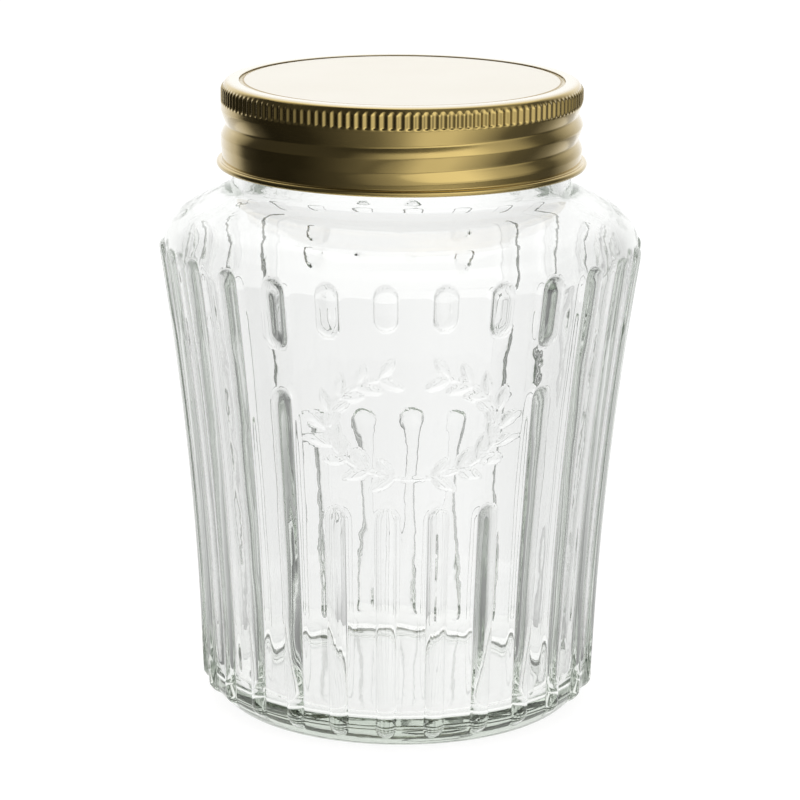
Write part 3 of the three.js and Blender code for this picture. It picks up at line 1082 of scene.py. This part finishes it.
@dataclass
class ScrewBand(Piece):
    """Gold screw band: flange, knurled edge, rolled thread and curled bead, in millimetres."""

    body: ClassVar[Body] = Body.BAND
    node: ClassVar[str] = "screw_band"
    slot: ClassVar[Slot] = Slot.GOLD_LACQUER
    sheet: float = 0.3
    wall_radius: float = 36.35
    ledge: float = 3.25
    top_round: float = 1.7
    bead: float = 1.2
    groove_depth: float = 1.0
    groove_fall: float = 2.1
    groove_power: float = 1.3
    groove_fade: float = 50.0
    groove_lead: float = 30.0
    crease_round: float = 0.12
    groove_turns: float = 1.4
    groove_start: float = 1.5
    groove_drop: float = 12.65
    foot_draw: float = 0.3
    foot_height: float = 3.2
    knurl_count: int = 138
    knurl_depth: float = 0.42
    knurl_drop: float = 1.2
    knurl_length: float = 2.95
    knurl_ease: float = 0.35
    knurl_power: float = 1.3
    columns_per_tooth: int = 6
    lip_round: float = 0.15
    flange_start: float = 0.4
    first_row: float = 0.15
    row_step: float = 0.16
    curl_turns: Pair = (118.0, -180.0)
    finish: GoldLacquer = GoldLacquer()

    def build(self) -> Object:
        """Builds the band's sheet: down the outside, round the bead and up the inside.

        Returns:
            The band as one closed mesh.
        """
        low, high = node_box(self.node)
        columns = self.knurl_count * self.columns_per_tooth
        angles = np.linspace(0.0, 360.0, columns, endpoint=False)
        section = self._section(low.z, high.z)
        profile = np.array([(r, z) for r, z, _ in section])
        worked = np.array([share for _, _, share in section])[:, None]
        heights = profile[:, 1:]
        groove = self._groove(angles, heights, high.z)
        knurl = self._knurl(angles, heights, high.z)
        above_bead = (heights - low.z - self.bead) / self.foot_height
        drawn = self.foot_draw * (1.0 - np.clip(above_bead, 0.0, 1.0))
        radii = profile[:, :1] - worked * (groove + knurl + drawn)
        return turned_object("screw_band_rolled", radii, heights, np.radians(angles), Winding.RING)

    def _section(self, bottom: float, top: float) -> list[tuple[float, float, float]]:
        """Section of the sheet, with the share of the groove and knurl at each point.

        Args:
            bottom: Height of the bead's underside.
            top: Height of the flange.

        Returns:
            Radius, height and share, from the flange's opening round and back to it.
        """
        opening = self.wall_radius - self.ledge
        curl = 0.5 * self.bead
        shoulder = self.wall_radius - self.top_round
        inside = self.wall_radius - self.sheet
        below, rounded = top - self.sheet, top - self.top_round
        edge = opening + self.lip_round
        fold = (opening, top - self.lip_round)
        outside = corner_curve(fold, (opening, top), (edge, top), 3)
        outside += pairs(np.linspace(opening + self.flange_start, shoulder, 5)[:-1], top)
        outside += corner_curve(
            (shoulder, top), (self.wall_radius, top), (self.wall_radius, rounded), 8
        )
        heights = np.arange(rounded - self.first_row, bottom + self.bead, -self.row_step)
        plain = pairs(self.wall_radius, heights)
        turns = np.radians(np.linspace(*self.curl_turns, 20))
        bead = pairs(inside + curl + curl * np.cos(turns), bottom + curl + curl * np.sin(turns))
        back = [(r - self.sheet, z) for r, z in reversed(plain[::3])]
        under = corner_curve((inside, rounded), (inside, below), (shoulder, below), 8)
        lip = corner_curve((edge, below), (opening, below), fold, 3)[:-1]
        rows = [(outside, 1.0), (plain, 1.0), (bead, 0.0), (back, 1.0), (under, 1.0), (lip, 0.0)]
        return [(r, z, share) for points, share in rows for r, z in points]

    def _groove(self, angles: Array, heights: Array, top: float) -> Array:
        """Depth of the rolled thread: a long slope in to a crease, then a short swell out below it.

        Args:
            angles: Columns, in degrees.
            heights: Rows, as a column.
            top: Height of the flange.

        Returns:
            Depth below the plain wall, rows by columns.
        """
        pitch = thread_pitch()
        start = top - self.groove_drop - pitch * self.groove_lead / 360.0
        turns = self.groove_turns + self.groove_lead / 360.0
        first = self.groove_start - self.groove_lead
        helix = Helix(start, first, turns, pitch, self.groove_fade)
        lean = 0.5 * pitch - self.groove_fall
        off, share = helix.nearest(angles[None, :], heights - lean)
        over = off + lean
        reach = np.where(over > 0.0, pitch - self.groove_fall, self.groove_fall)
        away = np.hypot(over, self.crease_round) - self.crease_round
        form = (1.0 - np.clip(away / reach, 0.0, 1.0)) ** self.groove_power
        return self.groove_depth * share * form

    def _knurl(self, angles: Array, heights: Array, top: float) -> Array:
        """Depth of the knurled edge: a drawn-in belt with upright rounded teeth.

        Args:
            angles: Columns, in degrees.
            heights: Rows, as a column.
            top: Height of the flange.

        Returns:
            Depth below the plain wall, rows by columns.
        """
        upper = top - self.knurl_drop
        lower = upper - self.knurl_length
        teeth = 0.5 + 0.5 * np.cos(np.radians(angles) * self.knurl_count)
        ends = np.minimum(upper - heights, heights - lower) / self.knurl_ease
        window = smooth(0.5 + 0.5 * ends)
        above = smooth(0.5 + 0.5 * (heights - lower) / self.knurl_ease)
        return self.knurl_depth * (above - window * teeth[None, :] ** self.knurl_power)


@dataclass(frozen=True)
class TentBelt:
    """One belt of the light tent: cloth with a soft glow, bright and dark by turns round the jar.

    Only the metal sees it, in its reflections, or only the glass, in what it refracts. The belt
    spans two rings, each given as radius and height in millimetres. Its stops give the brightness
    by the angle from the front, in degrees towards +X.
    """

    name: str
    seen_by: SeenBy
    inner: Pair
    outer: Pair
    stops: Stops
    columns: int = 144

    def material(self) -> Material:
        """Makes the tent's cloth, lit from outside with a brightness that changes round it.

        Returns:
            The material.
        """
        look = Look(self.name)
        place = {"Vector": look.place()}
        turn = add_node(look.tree, "ShaderNodeTexGradient", {"gradient_type": "RADIAL"}, place)
        ramp = add_node(look.tree, "ShaderNodeValToRGB", inputs={"Fac": turn.outputs["Fac"]})
        elements = ramp.color_ramp.elements
        while len(elements) < len(self.stops):
            elements.new(1.0)
        for element, (angle, level) in zip(elements, self.stops):
            element.position = angle / 360.0 + 0.5
            element.color = (level, level, level, 1.0)
        inputs = {"Color": ramp.outputs["Color"], "Strength": 1.0}
        glow = add_node(look.tree, "ShaderNodeEmission", inputs=inputs)
        look.tree.links.new(glow.outputs["Emission"], look.output.inputs["Surface"])
        return look.material

    def build(self) -> Object:
        """Stands the belt round the jar, with its seam at the back.

        Returns:
            The belt.
        """
        turns = np.linspace(0.0, FULL_TURN, self.columns, endpoint=False)
        spots = [
            (radius * MM * math.cos(t), radius * MM * math.sin(t), z * MM)
            for radius, z in (self.inner, self.outer)
            for t in turns
        ]
        count = self.columns
        faces = [(i, (i + 1) % count, count + (i + 1) % count, count + i) for i in range(count)]
        belt = mesh_object(self.name, spots, faces)
        belt.data.materials.append(self.material())
        belt.rotation_euler = (0.0, 0.0, -0.5 * math.pi)
        belt.visible_camera = False
        belt.visible_diffuse = False
        belt.visible_shadow = False
        belt.visible_glossy = self.seen_by is SeenBy.METAL
        belt.visible_transmission = self.seen_by is SeenBy.GLASS
        return belt


def both_sides(*half: Pair) -> Stops:
    """Stops of a belt from the front to the back, repeated on the other side."""
    return tuple((-angle, level) for angle, level in reversed(half)) + half


@dataclass
class Studio:
    """Pale floor, white surroundings, a light tent, a top light and the camera."""

    floor_colour: str = "#8C8C8A"
    floor_glow: float = 0.86
    floor_side: float = 6000.0
    world_strength: float = 0.85
    top_light_height: float = 900.0
    top_light_side: float = 700.0
    top_light_back: float = 150.0
    top_light_power: float = 1.2
    tent: tuple[TentBelt, ...] = (
        TentBelt("tent_near_table", SeenBy.GLASS, (52.0, TABLE), (300.0, TABLE), both_sides(
            (52, 0.74), (82, 0.2), (112, 0.4), (134, 0.7), (148, 0.99), (180, 1.0),
        )),
        TentBelt("tent_far_table", SeenBy.GLASS, (300.0, TABLE), (TENT_WALL, TABLE), both_sides(
            (50, 0.5), (90, 0.1), (116, 0.35), (136, 0.7), (152, 1.0), (180, 1.02),
        )),
        TentBelt("tent_near_flags", SeenBy.METAL, (52.0, TABLE), (320.0, TABLE), (
            (-180, 1.1), (-146, 1.0), (-130, 0.7), (-117, 0.12), (-102, 0.015), (-66, 0.03),
            (-45, 0.09), (-20, 0.2), (-4, 0.46), (12, 1.0), (30, 1.02), (50, 0.6),
            (72, 0.14), (95, 0.1), (112, 0.3), (131, 0.85), (155, 1.1), (180, 1.15),
        )),
        TentBelt("tent_far_flags", SeenBy.METAL, (320.0, TABLE), (TENT_WALL, TABLE), (
            (-180, 1.0), (-150, 0.8), (-128, 0.4), (-112, 0.03), (-80, 0.02), (-41, 0.07),
            (-10, 0.18), (8, 0.22), (28, 0.28), (45, 0.2), (57, 0.14), (75, 0.1),
            (105, 0.1), (131, 0.4), (155, 0.8), (180, 1.0),
        )),
        TentBelt("tent_wall_belt", SeenBy.METAL, (TENT_WALL, TABLE), (TENT_WALL, 180.0), (
            (-180, 1.15), (-146, 1.0), (-130, 0.75), (-119, 0.05), (-100, 0.02), (-66, 0.025),
            (-45, 0.08), (-29, 0.16), (-10, 0.4), (4, 0.7), (21, 0.95), (45, 0.9),
            (62, 0.5), (75, 0.4), (88, 0.1), (103, 0.08), (119, 0.45), (135, 0.85),
            (155, 1.1), (180, 1.15),
        )),
        TentBelt("tent_wall_cloth", SeenBy.GLASS, (TENT_WALL, TABLE), (TENT_WALL, 300.0), both_sides(
            (50, 0.5), (90, 0.06), (112, 0.3), (130, 0.75), (146, 1.0), (180, 1.15),
        )),
        TentBelt("tent_upper_belt", SeenBy.METAL, (TENT_WALL, 180.0), (TENT_WALL, 480.0), (
            (-180, 1.2), (-144, 1.15), (-128, 0.5), (-116, 0.05), (-40, 0.07), (-25, 0.25),
            (-4, 0.8), (15, 1.35), (40, 1.4), (60, 0.75), (78, 0.5), (92, 0.12),
            (106, 0.12), (122, 0.6), (144, 1.15), (180, 1.2),
        )),
        TentBelt("tent_roof", SeenBy.METAL, (4.0, 760.0), (TENT_WALL, 480.0), (
            (-180, 1.4), (-130, 1.2), (-105, 0.3), (-80, 0.05), (-15, 0.06), (2, 0.14),
            (30, 0.22), (70, 0.25), (100, 0.4), (130, 1.2), (180, 1.4),
        )),
    )
    camera_distance: float = 723.9
    camera_height: float = 241.7
    camera_turn: float = -3.6
    camera_pitch: float = 13.92
    camera_roll: float = 0.4
    camera_yaw: float = -0.166
    focal_pixels: float = 3646.6
    sideways_pixels: float = 10.45
    sensor: float = 36.0
    light_bounces: int = 24

    def build(self) -> None:
        """Sets up the floor, the light and the camera."""
        self._light_paths()
        self._surroundings()
        self._floor()
        self._tent()
        self._top_light()
        self._camera()

    def _light_paths(self) -> None:
        """Lets light run on inside the ribbed glass until it finds a way out."""
        cycles = bpy.context.scene.cycles
        cycles.max_bounces = self.light_bounces
        cycles.glossy_bounces = self.light_bounces
        cycles.transmission_bounces = self.light_bounces

    def _surroundings(self) -> None:
        """White world and a plain view of its colours."""
        world = bpy.data.worlds.new("white_studio")
        world.use_nodes = True
        background = world.node_tree.nodes["Background"]
        background.inputs["Color"].default_value = linear("#FFFFFF")
        background.inputs["Strength"].default_value = self.world_strength
        bpy.context.scene.world = world
        bpy.context.scene.view_settings.view_transform = "Standard"

    def _floor(self) -> None:
        """Large pale floor, lit a little from below as a light table is."""
        half = 0.5 * self.floor_side * MM
        corners = [(-half, -half, 0.0), (half, -half, 0.0), (half, half, 0.0), (-half, half, 0.0)]
        floor = mesh_object("light_table", corners, [(0, 1, 2, 3)])
        finish = StudioCard("opal_acrylic_sheet", self.floor_colour, self.floor_glow)
        floor.data.materials.append(finish.material())

    def _tent(self) -> None:
        """Light tent round the jar: flags and strips for the metal, pale cloth for the glass."""
        for belt in self.tent:
            belt.build()

    def _top_light(self) -> None:
        """Large soft light over the lid."""
        light = bpy.data.lights.new("top_softbox", "AREA")
        light.shape = "SQUARE"
        light.size = self.top_light_side * MM
        light.energy = self.top_light_power
        lamp = bpy.data.objects.new("top_softbox", light)
        lamp.location = (0.0, self.top_light_back * MM, self.top_light_height * MM)
        bpy.context.scene.collection.objects.link(lamp)

    def _turned(self, angle: float, axis: str) -> Matrix:
        """Turn about an axis by an angle in degrees."""
        return Matrix.Rotation(math.radians(angle), 4, axis)

    def _camera(self) -> None:
        """Camera at the photograph's viewing angle."""
        lens = bpy.data.cameras.new("studio_camera")
        lens.sensor_width = self.sensor
        lens.lens = self.focal_pixels * self.sensor / IMAGE_SIDE
        lens.shift_x = self.sideways_pixels / IMAGE_SIDE
        camera = bpy.data.objects.new("studio_camera", lens)
        place = Vector((0.0, -self.camera_distance, self.camera_height)) * MM
        aim = self._turned(-self.camera_yaw, "Z") @ self._turned(90.0 - self.camera_pitch, "X")
        stand = self._turned(self.camera_turn, "Z") @ Matrix.Translation(place)
        camera.matrix_world = stand @ aim @ self._turned(self.camera_roll, "Z")
        bpy.context.scene.collection.objects.link(camera)
        bpy.context.scene.camera = camera


def main() -> None:
    """Builds the studio and dresses every piece of the jar."""
    logging.basicConfig(level=logging.INFO, format="%(message)s")
    Studio().build()
    for assembly in (GlassJar(), SealingRing(), LidDisc(), ScrewBand()):
        piece = assembly.dress()
        log.info("%s: %d faces", piece.name, len(piece.data.polygons))


if __name__ == "__main__":
    main()
